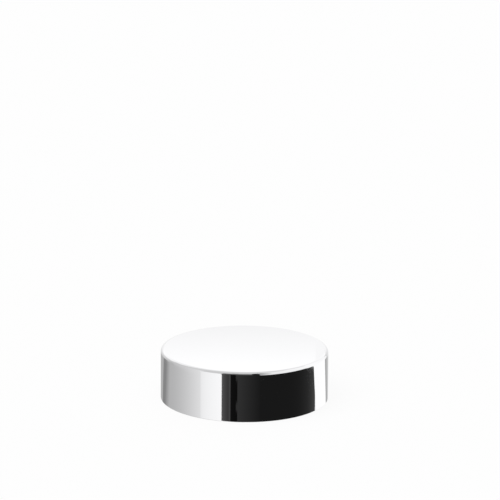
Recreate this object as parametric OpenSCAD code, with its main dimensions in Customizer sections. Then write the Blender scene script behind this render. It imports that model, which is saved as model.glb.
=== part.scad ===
// Screw cap for a wide jar neck: a drawn, chromed shell pressed over a moulded
// insert that carries the thread, with a soft sealing disc under the insert's panel.
// The cap stands on its rim, mouth down. The origin is the middle of the rim plane.

/* [Jar neck] */
// Diameter over the thread of the neck that the cap fits
neck_thread_d = 52.9; // [36:0.1:80]
// Radial play between the neck's thread and the wall of the cap's bore
neck_play = 0.2; // [0.1:0.05:0.6]
// Rise of the thread in one turn
thread_pitch = 4.23; // [3.2:0.01:7]
// Turns of the thread, its fading ends included
thread_turns = 1.35; // [1:0.05:2.5]
// Height of the thread ridge above the bore's wall
thread_depth = 1.2; // [0.6:0.05:1.6]
// Width of the flat crest of the ridge
thread_crest_w = 0.9; // [0.4:0.05:1.4]
// Slope of the upper flank, which pulls the cap down on the neck
load_flank_angle = 10; // [2:1:30]
// Slope of the lower flank, which faces the mouth
lead_flank_angle = 45; // [20:1:55]
// Turning angle over which each end of the ridge rises out of the wall
thread_fade_angle = 30; // [12:1:60]

/* [Threaded insert] */
// Wall of the insert outside the thread
insert_wall = 1.3; // [0.9:0.05:2.5]
// Length of the plain bore at the mouth that guides the neck into the thread
guide_h = 2.4; // [1.5:0.1:5]
// Extra radius of the plain bore over the threaded bore
guide_relief = 0.4; // [0.2:0.05:0.7]
// Chamfer on the inner edge of the mouth
mouth_chamfer = 0.4; // [0.2:0.05:0.8]
// Clear height between the thread and what lies below and above it
thread_clear = 0.3; // [0.1:0.05:1.5]
// Thickness of the flange that closes the gap to the shell at the mouth
flange_t = 1.2; // [0.6:0.1:2.5]
// Thickness of the panel over the sealing disc
panel_t = 1.3; // [0.8:0.05:3]
// Grip ribs around the insert that carry the shell
grip_rib_count = 36; // [12:1:60]
// Width of each grip rib
grip_rib_w = 1; // [0.6:0.1:2]
// Spacer ribs on the panel that carry the shell's top
crown_rib_count = 12; // [4:1:18]
// Width of the spacer ribs and of the rings at their ends
crown_rib_w = 1.2; // [0.8:0.1:2]
// Outside diameter of the ring in which the spacer ribs meet
crown_hub_d = 14; // [10:0.5:24]
// Height of the spacer ribs
crown_gap = 1.6; // [0.6:0.1:6]

/* [Sealing disc] */
// Thickness of the sealing disc
disc_t = 1.5; // [0.8:0.1:3]
// Radial play between the disc and the bore
disc_play = 0.15; // [0.05:0.05:0.5]
// Radius of the disc's rounded edges
disc_edge_r = 0.3; // [0.1:0.05:0.35]
// Short beads in the bore that hold the disc up
bead_count = 6; // [3:1:10]
// Turning angle of each bead
bead_angle = 24; // [8:1:30]
// Height of the beads above the bore's wall
bead_depth = 0.6; // [0.3:0.05:1]
// Width of the beads along the axis
bead_h = 0.8; // [0.4:0.05:1.5]
// Gap between the beads and the disc
bead_play = 0.1; // [0.05:0.05:0.4]

/* [Outer shell] */
// Thickness of the shell's metal
shell_wall = 0.7; // [0.4:0.05:1.5]
// Gap between the insert's wall and the shell, bridged by the grip ribs
skirt_gap = 1.35; // [0.9:0.05:6]
// Radius of the polished edge around the top
top_edge_r = 1.1; // [0.5:0.05:1.8]
// Radius of the trimmed edge around the rim
rim_edge_r = 0.25; // [0.1:0.05:0.35]
// Height of the insert's mouth above the shell's rim
rim_recess = 0.4; // [0.2:0.05:2]
// Radial play of the press fit between the insert and the shell
press_play = 0.05; // [0.02:0.01:0.15]

/* [Hidden] */
$fn = 120;

// Radii, from the bore outwards
bore_r = neck_thread_d / 2 + neck_play;
guide_r = bore_r + guide_relief;
insert_r = bore_r + insert_wall;
shell_bore_r = insert_r + skirt_gap;
shell_r = shell_bore_r + shell_wall;
seat_r = shell_bore_r - press_play;

// Heights, from the rim upwards
guide_z = rim_recess + mouth_chamfer;
guide_top_z = guide_z + guide_h;
bore_z = guide_top_z + guide_relief;
lead_flank_h = thread_depth * tan(lead_flank_angle);
load_flank_h = thread_depth * tan(load_flank_angle);
thread_z = bore_z + thread_clear + lead_flank_h + thread_crest_w / 2;
thread_top_z = thread_z + thread_turns * thread_pitch + thread_crest_w / 2 + load_flank_h;
bead_z = thread_top_z + thread_clear;
disc_z = bead_z + bead_h + bead_play;
panel_z = disc_z + disc_t;
panel_top_z = panel_z + panel_t;
shell_top_z = panel_top_z + crown_gap;
cap_h = shell_top_z + shell_wall;

// The shell's inside corner follows its outside edge at the thickness of the metal
inside_edge_r = max(top_edge_r - shell_wall, shell_wall / 4);

// The ring at the ends of the spacer ribs stays out of the shell's inside corner
crown_r = min(insert_r, shell_bore_r - inside_edge_r);

// Depth to which ridges and ribs are rooted in the wall that carries them
root = insert_wall / 3;

// The thread is drawn in steps of this turning angle
thread_step_angle = 5;
thread_steps = ceil(360 * thread_turns / thread_step_angle);

// Half of a lengthwise section through a round block with rounded edges
module rounded_half_section(r, h, upper_r, lower_r) {
    square([r - upper_r, h]);
    square([r - lower_r, h - upper_r]);
    translate([0, lower_r])
        square([r, h - upper_r - lower_r]);
    translate([r - upper_r, h - upper_r])
        circle(r = upper_r);
    translate([r - lower_r, lower_r])
        circle(r = lower_r);
}

// The same with one square edge, for a hollow that runs out through the rim
module hollow_half_section(r, h, upper_r) {
    square([r - upper_r, h]);
    square([r, h - upper_r]);
    translate([r - upper_r, h - upper_r])
        circle(r = upper_r);
}

module outer_shell() {
    color("silver")
        rotate_extrude()
            difference() {
                rounded_half_section(shell_r, cap_h, top_edge_r, rim_edge_r);
                hollow_half_section(shell_bore_r, shell_top_z, inside_edge_r);
            }
}

// Height of the ridge at a turning angle: it starts and ends inside the wall
function ridge_height(angle) =
    let (whole = 360 * thread_turns)
    let (share = min(1, angle / thread_fade_angle, (whole - angle) / thread_fade_angle))
    share * (thread_depth + root / 2) - root / 2;

// Four corners of the ridge's section, from its lower root round the crest to its upper root
function ridge_section(angle) =
    let (height = ridge_height(angle))
    let (middle = thread_z + thread_pitch * angle / 360)
    let (lead = (height + root) * tan(lead_flank_angle))
    let (load = (height + root) * tan(load_flank_angle))
    let (crest = thread_crest_w / 2)
    [
        for (corner = [
            [bore_r + root, middle - crest - lead],
            [bore_r - height, middle - crest],
            [bore_r - height, middle + crest],
            [bore_r + root, middle + crest + load]
        ])
        [corner[0] * cos(angle), corner[0] * sin(angle), corner[1]]
    ];

// Right-hand thread ridge: the section swept up the bore, fading out at both ends
module thread_ridge() {
    corners = len(ridge_section(0));
    last = thread_steps * corners;
    points = [
        for (i = [0 : thread_steps])
            each ridge_section(i * 360 * thread_turns / thread_steps)
    ];
    sides = [
        for (i = [0 : thread_steps - 1], j = [0 : corners - 1])
            let (a = i * corners + j)
            let (b = i * corners + (j + 1) % corners)
            each [[a, b + corners, b], [a, a + corners, b + corners]]
    ];
    first_end = [for (j = [2 : corners - 1]) [0, j - 1, j]];
    last_end = [for (j = [2 : corners - 1]) [last, last + j, last + j - 1]];
    polyhedron(points = points, faces = concat(sides, first_end, last_end), convexity = corners);
}

// Wall, panel and flange as one turned shape
module insert_body() {
    rotate_extrude()
        polygon([
            [guide_r + mouth_chamfer, rim_recess],
            [seat_r, rim_recess],
            [seat_r, rim_recess + flange_t],
            [insert_r, rim_recess + flange_t],
            [insert_r, panel_top_z],
            [0, panel_top_z],
            [0, panel_z],
            [bore_r, panel_z],
            [bore_r, bore_z],
            [guide_r, guide_top_z],
            [guide_r, guide_z]
        ]);
}

// Upright ribs between the insert's wall and the shell
module grip_ribs() {
    rib_z = rim_recess + flange_t / 2;
    intersection() {
        translate([0, 0, rib_z])
            cylinder(r = seat_r, h = panel_top_z - rib_z);
        for (i = [0 : grip_rib_count - 1])
            rotate(i * 360 / grip_rib_count)
                translate([insert_r - root, -grip_rib_w / 2, 0])
                    cube([skirt_gap + root, grip_rib_w, cap_h]);
    }
}

// Ring of the spacer ribs' width under the shell's top
module crown_ring(r) {
    difference() {
        cylinder(r = r, h = shell_top_z - panel_z - panel_t / 2);
        translate([0, 0, -panel_t])
            cylinder(r = r - crown_rib_w, h = shell_top_z);
    }
}

// Spacer ribs from the hub ring to the outer ring
module crown_ribs() {
    hub_r = crown_hub_d / 2;
    rib_h = shell_top_z - panel_z - panel_t / 2;
    translate([0, 0, panel_z + panel_t / 2]) {
        crown_ring(hub_r);
        crown_ring(crown_r);
        for (i = [0 : crown_rib_count - 1])
            rotate(i * 360 / crown_rib_count)
                translate([hub_r - crown_rib_w / 2, -crown_rib_w / 2, 0])
                    cube([crown_r - hub_r, crown_rib_w, rib_h]);
    }
}

// Short beads under the sealing disc, flat above and sloped towards the mouth
module holding_beads() {
    for (i = [0 : bead_count - 1])
        rotate(i * 360 / bead_count)
            rotate_extrude(angle = bead_angle)
                polygon([
                    [bore_r + root, bead_z],
                    [bore_r, bead_z],
                    [bore_r - bead_depth, bead_z + bead_h / 2],
                    [bore_r - bead_depth, bead_z + bead_h],
                    [bore_r + root, bead_z + bead_h]
                ]);
}

module threaded_insert() {
    color("whitesmoke")
        union() {
            insert_body();
            thread_ridge();
            holding_beads();
            grip_ribs();
            crown_ribs();
        }
}

module sealing_disc() {
    color("lightgray")
        translate([0, 0, disc_z])
            rotate_extrude()
                rounded_half_section(bore_r - disc_play, disc_t, disc_edge_r, disc_edge_r);
}

outer_shell();
threaded_insert();
sealing_disc();
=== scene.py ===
"""Screw cap: a mirror-chrome shell over a moulded insert with a thread, and a soft sealing disc.

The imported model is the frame. Each operator below makes one piece, or a group of like pieces, around it,
and the last one makes the stage: floor, softboxes, lamps and camera.
"""

from math import acos, cos, pi, radians, sin, sqrt, tan

import bmesh
import bpy
import numpy as np
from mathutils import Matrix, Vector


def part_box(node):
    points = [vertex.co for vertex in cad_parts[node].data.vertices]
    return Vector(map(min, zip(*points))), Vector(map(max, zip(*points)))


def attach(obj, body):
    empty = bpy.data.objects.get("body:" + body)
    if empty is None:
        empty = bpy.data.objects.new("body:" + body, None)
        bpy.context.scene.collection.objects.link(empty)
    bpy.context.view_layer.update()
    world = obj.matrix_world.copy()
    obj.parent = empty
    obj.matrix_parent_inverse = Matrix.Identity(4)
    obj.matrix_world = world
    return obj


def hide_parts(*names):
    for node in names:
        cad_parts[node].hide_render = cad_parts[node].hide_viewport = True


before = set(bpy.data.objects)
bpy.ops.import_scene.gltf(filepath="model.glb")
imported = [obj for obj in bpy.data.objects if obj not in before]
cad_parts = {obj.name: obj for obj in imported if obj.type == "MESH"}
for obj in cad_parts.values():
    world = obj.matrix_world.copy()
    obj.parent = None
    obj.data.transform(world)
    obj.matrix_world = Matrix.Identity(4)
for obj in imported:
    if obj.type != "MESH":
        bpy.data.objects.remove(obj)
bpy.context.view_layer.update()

bl_info = {
    "name": "Screw cap",
    "version": (1, 0, 0),
    "blender": (4, 5, 0),
    "location": "3D View > Sidebar > Screw cap",
    "description": "Makes a chrome screw cap with its threaded insert, sealing disc and studio",
    "category": "Object",
}

MM = 0.001
BODY = "root"
SHELL_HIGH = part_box("outer_shell")[1]
INSERT_LOW, INSERT_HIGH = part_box("threaded_insert")
DISC_LOW, DISC_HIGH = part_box("sealing_disc")

# Edges that turn more than this are drawn sharp
SHARP_ANGLE = radians(35)
# Points nearer to each other than this become one
MERGE_DISTANCE = 1e-7
# A ring this far beyond each rounded corner keeps the flat next to it flat
SUPPORT = 0.03 * MM
# Depth of a ridge's foot below the wall that carries it
BURIED = 0.02 * MM
# Share of its height by which a ridge's crest lies below the wall where the ridge is fully sunk
SUNK_SHARE = 0.25

# Faces around the insert's turned body, the sealing disc and the floor
INSERT_STEPS = 288
DISC_STEPS = 256
FLOOR_STEPS = 128
# Sections along the thread and along a bead
THREAD_SECTIONS = 325
BEAD_SECTIONS = 49

WHITE = (1.0, 1.0, 1.0, 1.0)
FLOOR_GREY = (0.92, 0.92, 0.92, 1.0)
# Width of the camera's sensor in millimetres
SENSOR_WIDTH = 36.0
# Points along each side of a softbox or flag
CARD_STEPS = 61
# Millimetres by which each softbox or flag stands in front of the one before it
CARD_GAP = 2


# Sizes and colours that a user would change


def length(name, description, default):
    """A length in metres."""
    return bpy.props.FloatProperty(
        name=name,
        description=description,
        default=default,
        min=0.0,
        precision=5,
        unit="LENGTH",
        subtype="DISTANCE",
    )


def angle(name, description, default):
    """An angle, given in degrees and kept in radians."""
    return bpy.props.FloatProperty(
        name=name,
        description=description,
        default=radians(default),
        precision=3,
        unit="ROTATION",
        subtype="ANGLE",
    )


def count(name, description, default):
    """A whole number of like features or steps."""
    return bpy.props.IntProperty(name=name, description=description, default=default, min=1)


def share(name, description, default):
    """A number from 0 to 1."""
    return bpy.props.FloatProperty(
        name=name, description=description, default=default, min=0.0, max=1.0, precision=3
    )


def colour(name, description, default):
    """A linear colour."""
    return bpy.props.FloatVectorProperty(
        name=name, description=description, default=default, size=3, min=0.0, max=1.0, subtype="COLOR"
    )


class ShellSizes(bpy.types.PropertyGroup):
    """Sizes of the chromed shell"""

    radius: length("Radius", "Outside radius of the shell", SHELL_HIGH.x)
    height: length("Height", "Height of the shell from its rim to its flat top", SHELL_HIGH.z)
    wall: length("Wall", "Thickness of the metal", 0.7 * MM)
    edge_radius: length("Edge radius", "Radius of the polished edge around the top", 1.1 * MM)
    rim_radius: length("Rim radius", "Radius of the trimmed edge around the rim", 0.25 * MM)
    turn_steps: count("Steps around", "Faces around the shell", 384)


class InsertSizes(bpy.types.PropertyGroup):
    """Sizes of the insert's body and ribs"""

    bore_radius: length("Bore radius", "Radius of the wall between the turns of the thread", 26.65 * MM)
    guide_relief: length("Guide relief", "Extra radius of the plain bore at the mouth", 0.4 * MM)
    guide_height: length("Guide height", "Length of the plain bore at the mouth", 2.4 * MM)
    wall: length("Wall", "Thickness of the wall outside the thread", 1.3 * MM)
    mouth_chamfer: length("Mouth chamfer", "Chamfer on the inner edge of the mouth", 0.4 * MM)
    flange: length("Flange", "Thickness of the flange at the mouth", 1.2 * MM)
    panel: length("Panel", "Thickness of the panel over the sealing disc", 1.3 * MM)
    root: length("Root", "Depth to which ridges and ribs are rooted in their wall", 0.43 * MM)
    hub_radius: length("Hub radius", "Outside radius of the ring in which the spacer ribs meet", 7.0 * MM)
    crown_rib_width: length("Spacer rib width", "Width of the spacer ribs and their rings", 1.2 * MM)
    crown_ribs: count("Spacer ribs", "Ribs between the panel and the shell's top", 12)
    grip_rib_width: length("Grip rib width", "Width of each rib that carries the shell", 1.0 * MM)
    grip_ribs: count("Grip ribs", "Ribs around the insert that carry the shell", 36)


class ThreadSizes(bpy.types.PropertyGroup):
    """Sizes of the thread ridge"""

    start: length("Start", "Height of the ridge's middle where the thread starts", 5.55 * MM)
    pitch: length("Pitch", "Rise of the thread in one turn", 4.23 * MM)
    turn: angle("Turn", "Turning angle of the thread, its fading ends included", 486)
    fade: angle("Fade", "Turning angle over which each end rises out of the wall", 30)
    depth: length("Depth", "Height of the ridge above the wall", 1.2 * MM)
    crest: length("Crest", "Width of the ridge's flat crest", 0.9 * MM)
    load_flank: angle("Load flank", "Slope of the upper flank, which pulls the cap down", 10)
    lead_flank: angle("Lead flank", "Slope of the lower flank, which faces the mouth", 45)
    rounding: length("Rounding", "Radius of the edges along the crest", 0.22 * MM)


class BeadSizes(bpy.types.PropertyGroup):
    """Sizes of the beads that hold the sealing disc"""

    beads: count("Beads", "Short beads that hold the sealing disc up", 6)
    start: length("Start", "Height of the beads' lower edge", 12.22 * MM)
    height: length("Height", "Width of a bead along the axis", 0.8 * MM)
    depth: length("Depth", "Height of a bead above the wall", 0.6 * MM)
    turn: angle("Turn", "Turning angle of one bead", 24)
    fade: angle("Fade", "Turning angle over which each end rises out of the wall", 2.5)


class DiscSizes(bpy.types.PropertyGroup):
    """Sizes of the sealing disc"""

    radius: length("Radius", "Radius of the sealing disc", DISC_HIGH.x)
    thickness: length("Thickness", "Thickness of the sealing disc", DISC_HIGH.z - DISC_LOW.z)
    edge_radius: length("Edge radius", "Radius of the disc's rounded edges", 0.3 * MM)


class Finishes(bpy.types.PropertyGroup):
    """Colours and gloss of the three materials"""

    chrome: colour("Chrome", "Colour of the plated shell", (0.9, 0.9, 0.91))
    chrome_roughness: share("Chrome roughness", "Roughness of the clean mirror finish", 0.02)
    plastic: colour("Plastic", "Colour of the moulded insert", (0.86, 0.86, 0.85))
    disc: colour("Disc", "Colour of the sealing disc", (0.72, 0.73, 0.73))


class StageSettings(bpy.types.PropertyGroup):
    """Camera, floor and lights"""

    camera_distance: length(
        "Camera distance", "Distance from the camera to the middle of the rim plane", 1.2
    )
    camera_height: angle(
        "Camera height", "Angle of the camera above the horizon, seen from the cap", 17.404
    )
    aim_up: angle("Aim up", "How far above the cap the camera points", 2.5214)
    aim_right: angle("Aim right", "How far to the right of the cap the camera points", -0.04)
    roll: angle("Roll", "How far the camera is turned about the line of sight", -0.456)
    focal_length: bpy.props.FloatProperty(
        name="Focal length",
        description="Lens on a 36 mm sensor, in millimetres",
        default=240.16,
        unit="CAMERA",
    )
    floor_radius: length("Floor radius", "Radius of the pale floor", 3.0)
    floor_white: share(
        "Floor white", "Share of the floor that shows plain white around the shadow", 0.88
    )
    room_light: share("Room light", "Even light from all sides", 0.55)
    key_light: share("Key light", "Light of the broad soft light on a level surface", 0.5)
    key_spread: angle("Key spread", "How broad the soft light is, seen from the cap", 70)
    tent_radius: length("Tent radius", "Distance of the softboxes and flags from the cap", 0.6)


SETTINGS = {
    "cap_shell": ShellSizes,
    "cap_insert": InsertSizes,
    "cap_thread": ThreadSizes,
    "cap_beads": BeadSizes,
    "cap_disc": DiscSizes,
    "cap_finishes": Finishes,
    "cap_stage": StageSettings,
}


# Outlines and surfaces, worked out with numpy


def unit(vector):
    """The vector at length 1."""
    return vector / np.linalg.norm(vector)


def rounded(corners, closed=False, steps=6, support=SUPPORT):
    """Outline through corners given as (across, up, rounding). Each rounded corner becomes an arc that
    touches both of its sides: it starts at rounding / tan(half) from the corner, where half is half of the
    angle between the sides, and its centre lies on the bisector at rounding / sin(half). A support point
    follows on each side."""
    points = np.array([corner[:2] for corner in corners], float)
    roundings = [corner[2] for corner in corners]
    pieces = []
    for index, (corner, rounding) in enumerate(zip(points, roundings)):
        if rounding == 0 or (not closed and index in (0, len(points) - 1)):
            pieces.append(corner[None])
            continue
        before = unit(points[index - 1] - corner)
        after = unit(points[(index + 1) % len(points)] - corner)
        half = acos(before @ after) / 2
        reach = rounding / tan(half)
        centre = corner + unit(before + after) * rounding / sin(half)
        first = corner + before * reach - centre
        last = corner + after * reach - centre
        turn = pi - 2 * half
        part = np.linspace(0, 1, steps + 1)[:, None]
        arc = centre + (np.sin((1 - part) * turn) * first + np.sin(part * turn) * last) / sin(turn)
        pieces += [arc[:1] + before * support, arc, arc[-1:] + after * support]
    return np.concatenate(pieces)


def turned(outline, steps):
    """Surface of revolution: the outline's point (r, z) at turning angle a is (r cos a, r sin a, z)."""
    turn = np.linspace(0, 2 * pi, steps, endpoint=False)
    across, up = outline.T
    rows = [np.outer(across, np.cos(turn)), np.outer(across, np.sin(turn)), np.outer(up, np.ones(steps))]
    return np.stack(rows, axis=-1)


def wound(section, turn, sunk, wall_radius, start, pitch):
    """A ridge's section carried along a helix inside a bore. The section's point is (height above the wall,
    height along the axis). At turning angle a it lies at radius wall - height and at height
    start + pitch a / 2 pi. Where sunk is 0 the ridge stands at full height, and where it is 1 the crest
    lies below the wall."""
    height, along = section.T
    crest = height.max()
    depth = np.outer(1 - sunk, height) - np.outer(sunk, np.full(len(height), SUNK_SHARE * crest))
    radius = wall_radius - np.where(height < 0, height, depth)
    up = start + pitch * turn[:, None] / (2 * pi) + along
    return np.stack([radius * np.cos(turn)[:, None], radius * np.sin(turn)[:, None], up], axis=-1)


def sunk_at_ends(turn, whole, fade):
    """1 at both ends of a ridge and 0 away from them: 1 - p p (3 - 2 p), where p runs from 0 to 1 over the
    fade."""
    part = np.clip(np.minimum(turn, whole - turn) / fade, 0, 1)
    return 1 - part * part * (3 - 2 * part)


def drawn_out(section, stations):
    """A closed section carried along stations (distance, inset): the section's points move towards its
    middle by the inset. Returns points (distance, across, up)."""
    middle = section.mean(axis=0)
    outward = section - middle
    outward /= np.linalg.norm(outward, axis=1)[:, None]
    distance, inset = np.array(stations, float).T
    plane = section[None] - inset[:, None, None] * outward[None]
    along = np.broadcast_to(distance[:, None, None], plane.shape[:2] + (1,))
    return np.concatenate([along, plane], axis=-1)


def quads(rows, columns, wrap_columns=True):
    """Four-cornered faces between neighbouring points of a grid. Unless told otherwise, the last column
    joins the first."""
    row = np.arange(rows - 1)[:, None]
    column = np.arange(columns if wrap_columns else columns - 1)[None]
    column_after = (column + 1) % columns
    corners = [
        row * columns + column,
        (row + 1) * columns + column,
        (row + 1) * columns + column_after,
        row * columns + column_after,
    ]
    return np.stack(corners, axis=-1).reshape(-1, 4)


def tube_faces(rows, columns):
    """Faces of a tube whose section is a closed row of points: its sides, and one face over each end."""
    last = (rows - 1) * columns
    ends = np.stack([np.arange(columns), last + np.arange(columns)[::-1]])
    return [quads(rows, columns), ends]


def ring_of_tubes(tube, number):
    """A tube in a number of evenly spaced copies around Z. The copy at angle a has its points at
    (x cos a - y sin a, x sin a + y cos a, z), and its faces are numbered on from those before."""
    turn = 2 * pi * np.arange(number) / number
    x, y, z = tube.reshape(-1, 3).T
    copies = [
        np.outer(np.cos(turn), x) - np.outer(np.sin(turn), y),
        np.outer(np.sin(turn), x) + np.outer(np.cos(turn), y),
        np.outer(np.ones(number), z),
    ]
    shift = len(x) * np.arange(number)[:, None, None]
    faces = [(group[None] + shift).reshape(-1, group.shape[1]) for group in tube_faces(*tube.shape[:2])]
    return np.stack(copies, axis=-1), faces


def mesh_from(name, points, faces):
    """A mesh from an array of points and groups of faces."""
    mesh = bpy.data.meshes.new(name)
    mesh.from_pydata(points.reshape(-1, 3).tolist(), [], [face for group in faces for face in group.tolist()])
    return mesh


def placed(name, data):
    """A new object in the scene."""
    made = bpy.data.objects.new(name, data)
    bpy.context.scene.collection.objects.link(made)
    return made


def piece(name, points, faces, node, material):
    """Makes a closed mesh that rides on the body and stands for a CAD node. Points that coincide, as at a
    pole, become one, and the faces are turned outwards if the mesh's signed volume is negative."""
    mesh = mesh_from(name, points, faces)
    work = bmesh.new()
    work.from_mesh(mesh)
    bmesh.ops.remove_doubles(work, verts=work.verts, dist=MERGE_DISTANCE)
    if work.calc_volume(signed=True) < 0:
        bmesh.ops.reverse_faces(work, faces=work.faces)
    loose = [edge for edge in work.edges if len(edge.link_faces) != 2]
    work.to_mesh(mesh)
    work.free()
    if loose:
        raise RuntimeError(f"{name} has {len(loose)} edges that don't join two faces")
    mesh.shade_smooth()
    mesh.set_sharp_from_angle(angle=SHARP_ANGLE)
    mesh.materials.append(material)
    made = placed(name, mesh)
    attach(made, BODY)
    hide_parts(node)


def turned_piece(name, outline, steps, node, material):
    """A piece that is one surface of revolution."""
    piece(name, turned(outline, steps), [quads(len(outline), steps)], node, material)


# Shader maths


# A Mix node has a set of sockets for each type of data, so those for colours go by number
MIX_FACTOR = 0
MIX_FIRST = 6
MIX_SECOND = 7
MIX_RESULT = 2


class Value:
    """A socket that adds its Math node when it is used in an expression."""

    def __init__(self, finish, socket):
        self.finish = finish
        self.socket = socket

    def _math(self, operation, first, second):
        return self.finish.node("ShaderNodeMath", {"operation": operation}, {0: first, 1: second})

    def __add__(self, other):
        return self._math("ADD", self, other)

    def __radd__(self, other):
        return self._math("ADD", other, self)

    def __sub__(self, other):
        return self._math("SUBTRACT", self, other)

    def __rsub__(self, other):
        return self._math("SUBTRACT", other, self)

    def __mul__(self, other):
        return self._math("MULTIPLY", self, other)

    def __rmul__(self, other):
        return self._math("MULTIPLY", other, self)


class Finish:
    """A node tree under way: a material's, or the world's."""

    def __init__(self, owner):
        self.owner = owner
        owner.use_nodes = True
        self.tree = owner.node_tree
        self.tree.nodes.clear()

    def node(self, kind, settings=None, inputs=None, output=0):
        """Adds a node of a type, gives it its settings, then the values or links of its sockets, and returns
        one of its outputs, by name or number."""
        made = self.tree.nodes.new(kind)
        for name, setting in (settings or {}).items():
            setattr(made, name, setting)
        for name, value in (inputs or {}).items():
            if isinstance(value, Value):
                self.tree.links.new(value.socket, made.inputs[name])
            else:
                made.inputs[name].default_value = value
        return Value(self, made.outputs[output]) if len(made.outputs) else None

    def mix(self, factor, first, second):
        """A colour between two colours."""
        inputs = {MIX_FACTOR: factor, MIX_FIRST: first, MIX_SECOND: second}
        return self.node("ShaderNodeMix", {"data_type": "RGBA"}, inputs, output=MIX_RESULT)

    def mix_shaders(self, factor, first, second):
        """A surface between two surfaces."""
        return self.node("ShaderNodeMixShader", inputs={0: factor, 1: first, 2: second})

    def noise(self, where, scale, detail):
        """Noise from 0 to 1 at a number of blotches a metre."""
        return self.node("ShaderNodeTexNoise", inputs={"Vector": where, "Scale": scale, "Detail": detail})

    def stretched(self, where, scale):
        """A place whose axes are stretched apart, for lines and flow marks."""
        return self.node("ShaderNodeMapping", inputs={"Vector": where, "Scale": scale})

    def bump(self, height, depth):
        """A normal from a height of 0 to 1 times a depth in metres."""
        return self.node("ShaderNodeBump", inputs={"Height": height, "Distance": depth, "Strength": 1.0})

    def surface(self, shader):
        """Ends the tree with its surface."""
        of_world = isinstance(self.owner, bpy.types.World)
        kind = "ShaderNodeOutputWorld" if of_world else "ShaderNodeOutputMaterial"
        self.node(kind, inputs={"Surface": shader})
        return self.owner


def shaded(value, amount):
    """A linear colour, with alpha, made darker or lighter by an amount."""
    return tuple(min(1.0, part * amount) for part in value) + (1.0,)


def finish_from(build):
    """The material named after the function that builds it, built the first time it is asked for."""
    found = bpy.data.materials.get(build.__name__)
    return found or build(Finish(bpy.data.materials.new(build.__name__)), bpy.context.scene.cap_finishes)


def polished_chrome(finish, colours):
    """Mirror chrome: a faint haze and hair-fine polishing lines in the roughness, and a very slight
    waviness."""
    where = finish.node("ShaderNodeTexCoord", output="Object")
    haze = finish.noise(where, scale=90.0, detail=3.0)
    lines = finish.noise(finish.stretched(where, scale=(60.0, 60.0, 9000.0)), scale=1.0, detail=2.0)
    roughness = colours.chrome_roughness + 0.012 * haze + 0.008 * lines
    tone = finish.mix(haze, shaded(colours.chrome, 0.99), shaded(colours.chrome, 1.0))
    sockets = {
        "Base Color": tone,
        "Metallic": 1.0,
        "Roughness": roughness,
        "Normal": finish.bump(finish.noise(where, scale=45.0, detail=1.0), depth=1.2e-6),
    }
    return finish.surface(finish.node("ShaderNodeBsdfPrincipled", inputs=sockets))


def moulded_plastic(finish, colours):
    """Moulded insert: satin plastic with flow marks along the wall and the fine grain of a sparked mould."""
    where = finish.node("ShaderNodeTexCoord", output="Object")
    cloud = finish.noise(where, scale=120.0, detail=3.0)
    flow = finish.noise(finish.stretched(where, scale=(140.0, 140.0, 700.0)), scale=1.0, detail=3.0)
    grain = finish.noise(where, scale=7000.0, detail=2.0)
    dark = shaded(colours.plastic, 0.955)
    light = shaded(colours.plastic, 1.02)
    sockets = {
        "Base Color": finish.mix(0.6 * cloud + 0.4 * flow, dark, light),
        "Roughness": 0.36 + 0.1 * grain + 0.08 * cloud,
        "Normal": finish.bump(0.7 * grain + 0.3 * flow, depth=6e-6),
        "Specular IOR Level": 0.5,
    }
    return finish.surface(finish.node("ShaderNodeBsdfPrincipled", inputs=sockets))


def soft_disc(finish, colours):
    """Sealing disc: a matte, closed-cell skin with fine cells and a faint cloud of tone, with painted shade
    that darkens the pits between the cells.
    """
    where = finish.node("ShaderNodeTexCoord", output="Object")
    cells = finish.node("ShaderNodeTexVoronoi", inputs={"Vector": where, "Scale": 2600.0})
    cloud = finish.noise(where, scale=200.0, detail=4.0)
    light = shaded(colours.disc, 1.03)
    dark = shaded(colours.disc, 0.93)
    sockets = {
        # Painted shade: the colour darkens towards the cell edges, in the pits between the cells; the cloud
        # varies the tone at random
        "Base Color": finish.mix(0.5 * cells + 0.5 * cloud, light, dark),
        "Roughness": 0.68 + 0.18 * cloud,
        "Normal": finish.bump(1.0 - cells, depth=1e-5),
        "Specular IOR Level": 0.4,
    }
    return finish.surface(finish.node("ShaderNodeBsdfPrincipled", inputs=sockets))


# Operators


class MakeShell(bpy.types.Operator):
    """Makes the chromed shell: a cup with a flat top, a small even radius around it and a straight side"""

    bl_idname = "screw_cap.make_shell"
    bl_label = "Chrome shell"

    def execute(self, context):
        size = context.scene.cap_shell
        bore = size.radius - size.wall
        below_top = size.height - size.wall
        outside = rounded(
            [
                (0, size.height, 0),
                (size.radius, size.height, size.edge_radius),
                (size.radius, 0, size.rim_radius),
                (bore, 0, 0),
            ],
            steps=32,
        )
        inside = rounded(
            [
                (bore, 0, 0),
                (bore, below_top, size.edge_radius - size.wall),
                (0, below_top, 0),
            ],
            steps=16,
        )
        outline = np.concatenate([outside, inside[1:]])
        turned_piece("shell", outline, size.turn_steps, "outer_shell", finish_from(polished_chrome))
        return {"FINISHED"}


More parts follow.
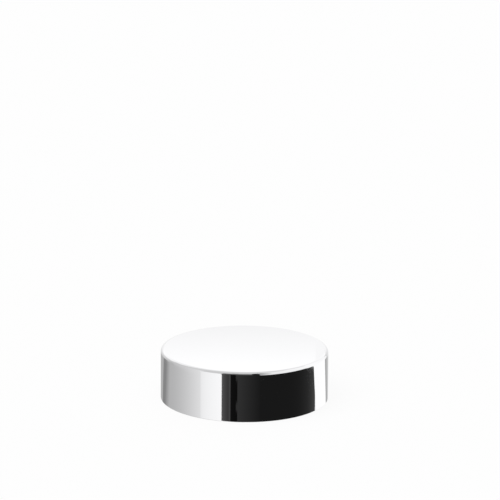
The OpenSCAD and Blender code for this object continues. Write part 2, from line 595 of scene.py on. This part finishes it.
class MakeInsert(bpy.types.Operator):
    """Makes the insert's turned body: wall, flange, panel, and the rings that carry the shell's top"""

    bl_idname = "screw_cap.make_insert"
    bl_label = "Insert body"

    def execute(self, context):
        size = context.scene.cap_insert
        low = INSERT_LOW.z
        top = INSERT_HIGH.z
        seat = INSERT_HIGH.x
        bore = size.bore_radius
        guide = bore + size.guide_relief
        outer = bore + size.wall
        guide_low = low + size.mouth_chamfer
        guide_top = guide_low + size.guide_height
        panel_low = DISC_HIGH.z
        panel_top = panel_low + size.panel
        hub = size.hub_radius
        ring = size.crown_rib_width
        # Roundings of the edges at the mouth and of those elsewhere
        fine = 0.12 * MM
        soft = 0.25 * MM
        outline = rounded(
            [
                (0, panel_top, 0),
                (hub - ring, panel_top, soft),
                (hub - ring, top, soft),
                (hub, top, soft),
                (hub, panel_top, soft),
                (outer - ring, panel_top, soft),
                (outer - ring, top, soft),
                (outer, top, soft),
                (outer, low + size.flange, soft),
                (seat, low + size.flange, fine),
                (seat, low, fine),
                (guide + size.mouth_chamfer, low, fine),
                (guide, guide_low, fine),
                (guide, guide_top, fine),
                (bore, guide_top + size.guide_relief, fine),
                (bore, panel_low, soft),
                (0, panel_low, 0),
            ]
        )
        turned_piece("insert_body", outline, INSERT_STEPS, "threaded_insert", finish_from(moulded_plastic))
        return {"FINISHED"}


class MakeThread(bpy.types.Operator):
    """Makes the right-hand thread ridge, which rises out of the bore's wall and sinks back into it"""

    bl_idname = "screw_cap.make_thread"
    bl_label = "Thread ridge"

    def execute(self, context):
        size = context.scene.cap_thread
        insert = context.scene.cap_insert
        crest = size.crest / 2
        lead = crest + size.depth * tan(size.lead_flank)
        load = crest + size.depth * tan(size.load_flank)
        # The ridge's foot runs on this far under the wall on both sides
        skirt = 0.3 * MM
        section = rounded(
            [
                (-insert.root, -lead - skirt, 0),
                (-BURIED, -lead - skirt, 0),
                (-BURIED, -lead, size.rounding),
                (size.depth, -crest, size.rounding),
                (size.depth, crest, size.rounding),
                (-BURIED, load, size.rounding),
                (-BURIED, load + skirt, 0),
                (-insert.root, load + skirt, 0),
            ],
            closed=True,
            steps=5,
            support=SUPPORT / 2,
        )
        turn = np.linspace(0, size.turn, THREAD_SECTIONS)
        sunk = sunk_at_ends(turn, size.turn, size.fade)
        points = wound(section, turn, sunk, insert.bore_radius, size.start, size.pitch)
        faces = tube_faces(*points.shape[:2])
        piece("insert_thread", points, faces, "threaded_insert", finish_from(moulded_plastic))
        return {"FINISHED"}


class MakeBeads(bpy.types.Operator):
    """Makes the short beads in the bore that hold the disc up, flat above and sloped towards the mouth"""

    bl_idname = "screw_cap.make_beads"
    bl_label = "Holding beads"

    def execute(self, context):
        size = context.scene.cap_beads
        insert = context.scene.cap_insert
        edge = 0.15 * MM
        section = rounded(
            [
                (-insert.root, 0, 0),
                (-BURIED, 0, 0),
                (size.depth, size.height / 2, edge),
                (size.depth, size.height, edge),
                (-insert.root, size.height, 0),
            ],
            closed=True,
            steps=4,
            support=SUPPORT / 2,
        )
        turn = np.linspace(0, size.turn, BEAD_SECTIONS)
        sunk = sunk_at_ends(turn, size.turn, size.fade)
        bead = wound(section, turn, sunk, insert.bore_radius, size.start, pitch=0.0)
        points, faces = ring_of_tubes(bead, size.beads)
        piece("insert_beads", points, faces, "threaded_insert", finish_from(moulded_plastic))
        return {"FINISHED"}


class MakeGripRibs(bpy.types.Operator):
    """Makes the upright ribs that fill the gap between the insert's wall and the shell"""

    bl_idname = "screw_cap.make_grip_ribs"
    bl_label = "Grip ribs"

    def execute(self, context):
        size = context.scene.cap_insert
        half = size.grip_rib_width / 2
        inner = size.bore_radius + size.wall - size.root
        outer = sqrt(INSERT_HIGH.x**2 - half**2)
        edge = 0.2 * MM
        section = rounded(
            [(inner, -half, 0), (outer, -half, edge), (outer, half, edge), (inner, half, 0)],
            closed=True,
            steps=4,
        )
        low = INSERT_LOW.z + size.flange / 2
        top = DISC_HIGH.z + size.panel
        # A rib draws in towards its upper end, given as (distance below the end, inset)
        upper_end = [(0.5 * MM, 0), (0.15 * MM, 0.05 * MM), (0, edge)]
        stations = [(low, 0)] + [(top - below, inset) for below, inset in upper_end]
        # The rib stands upright, so what runs along it becomes its height
        rib = drawn_out(section, stations)[:, :, [1, 2, 0]]
        points, faces = ring_of_tubes(rib, size.grip_ribs)
        piece("insert_grip_ribs", points, faces, "threaded_insert", finish_from(moulded_plastic))
        return {"FINISHED"}


class MakeCrownRibs(bpy.types.Operator):
    """Makes the spacer ribs on the panel, from the hub ring to the outer ring, that carry the shell's top"""

    bl_idname = "screw_cap.make_crown_ribs"
    bl_label = "Spacer ribs"

    def execute(self, context):
        size = context.scene.cap_insert
        half = size.crown_rib_width / 2
        low = DISC_HIGH.z + size.panel / 2
        top = INSERT_HIGH.z
        edge = 0.25 * MM
        section = rounded(
            [(-half, low, 0), (half, low, 0), (half, top, edge), (-half, top, edge)],
            closed=True,
            steps=4,
        )
        stations = [(size.hub_radius - half, 0), (size.bore_radius + size.wall - half, 0)]
        points, faces = ring_of_tubes(drawn_out(section, stations), size.crown_ribs)
        piece("insert_crown_ribs", points, faces, "threaded_insert", finish_from(moulded_plastic))
        return {"FINISHED"}


class MakeDisc(bpy.types.Operator):
    """Makes the soft sealing disc with its rounded edges"""

    bl_idname = "screw_cap.make_disc"
    bl_label = "Sealing disc"

    def execute(self, context):
        size = context.scene.cap_disc
        low = DISC_LOW.z
        top = low + size.thickness
        outline = rounded(
            [
                (0, top, 0),
                (size.radius, top, size.edge_radius),
                (size.radius, low, size.edge_radius),
                (0, low, 0),
            ],
            steps=10,
        )
        turned_piece("sealing_disc_soft", outline, DISC_STEPS, "sealing_disc", finish_from(soft_disc))
        return {"FINISHED"}


# The stage


def patch(start, end, low, high, first, last):
    """The four corners of an upright softbox or flag, each as (turning angle, height angle, light), in the
    order low start, low end, high end, high start. Its light runs from one side edge to the other."""
    return [(start, low, first), (end, low, last), (end, high, last), (start, high, first)]


# Softboxes and flags of the tent around the cap, as (name, corners, ease). Turning angles run from the
# camera's side to the right and height angles from the horizon, in degrees, and a light of 1 is white. The
# ease bends how the light runs from side to side. A later one stands in front of the earlier ones.
CARDS = [
    ("ceiling_left", patch(-180, 20, 5, 90, 0.66, 0.66), 1),
    ("ceiling_right", patch(20, 180, 40, 90, 0.75, 0.82), 1),
    ("back_wall", patch(112, 248, -85, 14.5, 0.93, 0.93), 1),
    ("back_sweep", [(112, 14.5, 0.849), (248, 14.5, 0.849), (248, 19.2, 1.105), (112, 19.2, 1.105)], 1),
    ("back_screen", [(112, 19.2, 1.105), (248, 19.2, 1.105), (248, 88, 0.70), (112, 88, 0.56)], 1),
    ("left_fill", patch(-125, -61, -85, -14.8, 0.485, 0.81), 1.7),
    ("left_fill_high", [(-125, -14.8, 0.52), (-61, -14.8, 0.81), (-61, 44, 0.78), (-125, 36, 0.6)], 1.4),
    ("left_high", [(-176, -14.8, 0.74), (-112, -14.8, 0.46), (-112, 34, 0.70), (-176, 8, 1.09)], 1),
    ("left_edge", patch(-180, -140, -85, -14.8, 0.46, 0.46), 1),
    ("left_gap", [(-162, -22, 0.24), (-151, -22, 0.24), (-134, -14.8, 0.26), (-145, -14.8, 0.26)], 1),
    ("left_gap_side", [(-151, -22, 0.24), (-128, -22, 0.49), (-121, -14.8, 0.49), (-134, -14.8, 0.26)], 1),
    ("left_softbox", patch(-61, -30, -85, 12, 0.85, 1.055), 0.42),
    ("right_upper", patch(20, 112, -20, 60, 0.84, 1.08), 0.8),
    ("right_flag", [(20, -85, 0.0101), (92, -85, 0.0215), (92, -9.5, 0.0215), (20, -12.4, 0.0101)], 6.5),
    (
        "right_flag_end",
        [(91, -85, 0.0205), (112, -85, 0.066), (112, -14.82, 0.066), (91, -14.4, 0.0205)],
        1.6,
    ),
    ("right_softbox_high", patch(105, 150, -12, 46, 1.1, 1.02), 1),
    ("right_softbox", patch(127, 150, -85, -10, 1.1, 1.1), 1),
    ("right_softbox_side", [(127, -22, 1.1), (153, -22, 1.1), (153, -11, 1.1), (98, -11, 1.1)], 1),
    ("right_edge", patch(143, 176, -14.8, 20, 0.72, 1.03), 1),
    ("right_gap", [(165.5, -22, 0.31), (186, -22, 0.74), (180, -14.8, 0.9), (142.6, -14.8, 0.385)], 1),
    ("front_flag", [(-30.3, -85, 0.058), (21, -85, 0.011), (21, 51, 0.011), (-30.3, 28, 0.058)], 0.68),
    ("left_flag", [(-30.3, -85, 0.18), (-18.3, -85, 0.032), (-18.3, 34, 0.032), (-30.3, 26, 0.18)], 0.22),
    ("flag_seam", patch(-20.6, -18.3, -85, 32, 0.06, 0.06), 1),
    ("narrow_flag", patch(-18.3, -9.1, -85, 46, 0.006, 0.004), 1),
    ("narrow_flag_head", patch(-11.3, -8.9, -14.7, 46, 0.031, 0.031), 1),
    ("narrow_flag_notch", patch(-11.1, -8.9, -16.29, -15.86, 0.031, 0.031), 1),
    ("front_screen", [(-30.3, 12, 0.13), (10.5, 12, 0.22), (10.5, 46.5, 0.22), (-30.3, 38, 0.13)], 2),
    ("front_gap", [(20, -12.6, 0.42), (28.5, -12.6, 0.72), (48, 70, 0.84), (24, 70, 0.26)], 1),
]


def card(name, corners, ease, radius):
    """A softbox or flag: a patch of a sphere around the cap. Its turning angle a and height angle h run
    straight between its four corners, and its point is radius (sin a cos h, -cos a cos h, sin h)."""
    across = np.linspace(0, 1, CARD_STEPS)[:, None]
    up = np.linspace(0, 1, CARD_STEPS)[None]

    def between(part, values):
        low_start, low_end, high_end, high_start = values
        low = (1 - part) * low_start + part * low_end
        high = (1 - part) * high_start + part * high_end
        return (1 - up) * low + up * high

    turns, heights, greys = np.array(corners, float).T
    turn = between(across, np.radians(turns))
    height = between(across, np.radians(heights))
    light = between(across**ease, greys)
    places = [np.sin(turn) * np.cos(height), -np.cos(turn) * np.cos(height), np.sin(height)]
    points = radius * np.stack(places, axis=-1)
    mesh = mesh_from(name, points, [quads(CARD_STEPS, CARD_STEPS, wrap_columns=False)])
    glow = mesh.attributes.new("glow", "FLOAT", "POINT")
    glow.data.foreach_set("value", light.ravel().astype(np.float32))
    finish = Finish(bpy.data.materials.new(name))
    grey = finish.node("ShaderNodeAttribute", {"attribute_name": "glow"})
    mesh.materials.append(finish.surface(finish.node("ShaderNodeEmission", inputs={"Color": grey})))
    made = placed(name, mesh)
    made.visible_camera = False
    made.visible_diffuse = False
    made.visible_shadow = False


def shows_white(finish):
    """1 for what the camera, a mirror or glass sees, and 0 for the light on other surfaces."""
    rays = finish.node("ShaderNodeLightPath").socket.node.outputs
    camera = Value(finish, rays["Is Camera Ray"])
    mirror = Value(finish, rays["Is Glossy Ray"])
    glass = Value(finish, rays["Is Transmission Ray"])
    return finish.node("ShaderNodeClamp", inputs={"Value": camera + mirror + glass})


class MakeStage(bpy.types.Operator):
    """Makes the pale floor, the softboxes and flags, the lamps, the world and the camera"""

    bl_idname = "screw_cap.make_stage"
    bl_label = "Stage"

    def execute(self, context):
        scene = context.scene
        stage = scene.cap_stage
        self.make_floor(stage)
        for number, (name, corners, ease) in enumerate(CARDS):
            card(name, corners, ease, stage.tent_radius - number * CARD_GAP * MM)
        self.make_key_light(stage)
        self.make_low_lamp()
        self.make_world(scene, stage)
        self.make_camera(scene, stage)
        scene.view_settings.view_transform = "Standard"
        return {"FINISHED"}

    def make_floor(self, stage):
        """A flat ring from under the rim outwards. It is open below the cap and clear from its underside, so
        that the inside can be seen and lit from below. It is left out of mirrors, where the tent goes on."""
        under_rim = 0.5 * MM
        near_cap = SHELL_HIGH.x * 2
        half_way = 0.2
        radii = np.array([SHELL_HIGH.x - under_rim, near_cap, half_way, stage.floor_radius])
        points = turned(np.stack([radii, np.zeros(len(radii))], axis=-1), FLOOR_STEPS)
        mesh = mesh_from("floor", points, [quads(len(radii), FLOOR_STEPS)])
        finish = Finish(bpy.data.materials.new("pale_floor"))
        plain = finish.node("ShaderNodeBsdfDiffuse", inputs={"Color": FLOOR_GREY})
        white = finish.node("ShaderNodeEmission", inputs={"Color": WHITE})
        lit = finish.mix_shaders(shows_white(finish) * stage.floor_white, plain, white)
        below = finish.node("ShaderNodeNewGeometry", output="Backfacing")
        clear = finish.node("ShaderNodeBsdfTransparent")
        mesh.materials.append(finish.surface(finish.mix_shaders(below, lit, clear)))
        floor = placed("floor", mesh)
        floor.visible_glossy = False

    def make_key_light(self, stage):
        """A broad soft light from high on the camera's left, even over the whole floor. It doesn't show in
        the mirror, where the softboxes stand for it."""
        towards_camera = radians(20)
        towards_left = radians(18)
        light = bpy.data.lights.new("key_light", "SUN")
        light.angle = stage.key_spread
        light.energy = stage.key_light * pi
        key = placed("key_light", light)
        key.rotation_euler = (towards_camera, -towards_left, 0)
        key.visible_glossy = False

    def make_low_lamp(self):
        """A square soft lamp that lights the inside from below. It doesn't show in the mirror either."""
        light = bpy.data.lights.new("low_lamp", "AREA")
        light.size = 0.8
        light.energy = 5.0
        lamp = placed("low_lamp", light)
        lamp.location = (0.3, -0.3, -0.9)
        lamp.rotation_euler = lamp.location.to_track_quat("Z", "Y").to_euler()
        lamp.visible_glossy = False

    def make_world(self, scene, stage):
        """Plain white to the camera and to mirrors, and an even room light on everything else."""
        scene.world = bpy.data.worlds.new("room")
        finish = Finish(scene.world)
        strength = stage.room_light + shows_white(finish) * (1 - stage.room_light)
        finish.surface(finish.node("ShaderNodeBackground", inputs={"Color": WHITE, "Strength": strength}))

    def make_camera(self, scene, stage):
        """The camera stands in front of the cap, a little above it, and points past it so that the cap
        stands low and just left of the picture's middle."""
        data = bpy.data.cameras.new("camera")
        data.sensor_width = SENSOR_WIDTH
        data.lens = stage.focal_length
        camera = placed("camera", data)
        height = stage.camera_height
        camera.location = (0, -stage.camera_distance * cos(height), stage.camera_distance * sin(height))
        camera.rotation_euler = (pi / 2 - height + stage.aim_up, stage.roll, -stage.aim_right)
        scene.camera = camera


OPERATORS = [
    MakeShell,
    MakeInsert,
    MakeThread,
    MakeBeads,
    MakeGripRibs,
    MakeCrownRibs,
    MakeDisc,
    MakeStage,
]


class ScrewCapPanel(bpy.types.Panel):
    """Lists the cap's operators in the 3D view's sidebar"""

    bl_idname = "VIEW3D_PT_screw_cap"
    bl_label = "Screw cap"
    bl_space_type = "VIEW_3D"
    bl_region_type = "UI"
    bl_category = "Screw cap"

    def draw(self, context):
        for operator in OPERATORS:
            self.layout.operator(operator.bl_idname)
        for name in SETTINGS:
            settings = getattr(context.scene, name)
            box = self.layout.box()
            for field in type(settings).__annotations__:
                box.prop(settings, field)


CLASSES = [*SETTINGS.values(), *OPERATORS, ScrewCapPanel]


def register():
    """Makes the settings, the operators and the panel known to Blender."""
    for kind in CLASSES:
        bpy.utils.register_class(kind)
    for name, group in SETTINGS.items():
        setattr(bpy.types.Scene, name, bpy.props.PointerProperty(type=group))


def unregister():
    """Takes them away again."""
    for name in SETTINGS:
        delattr(bpy.types.Scene, name)
    for kind in reversed(CLASSES):
        bpy.utils.unregister_class(kind)


def main():
    """Makes every piece in turn."""
    register()
    for operator in OPERATORS:
        group, name = operator.bl_idname.split(".")
        getattr(getattr(bpy.ops, group), name)()


if __name__ == "__main__":
    main()
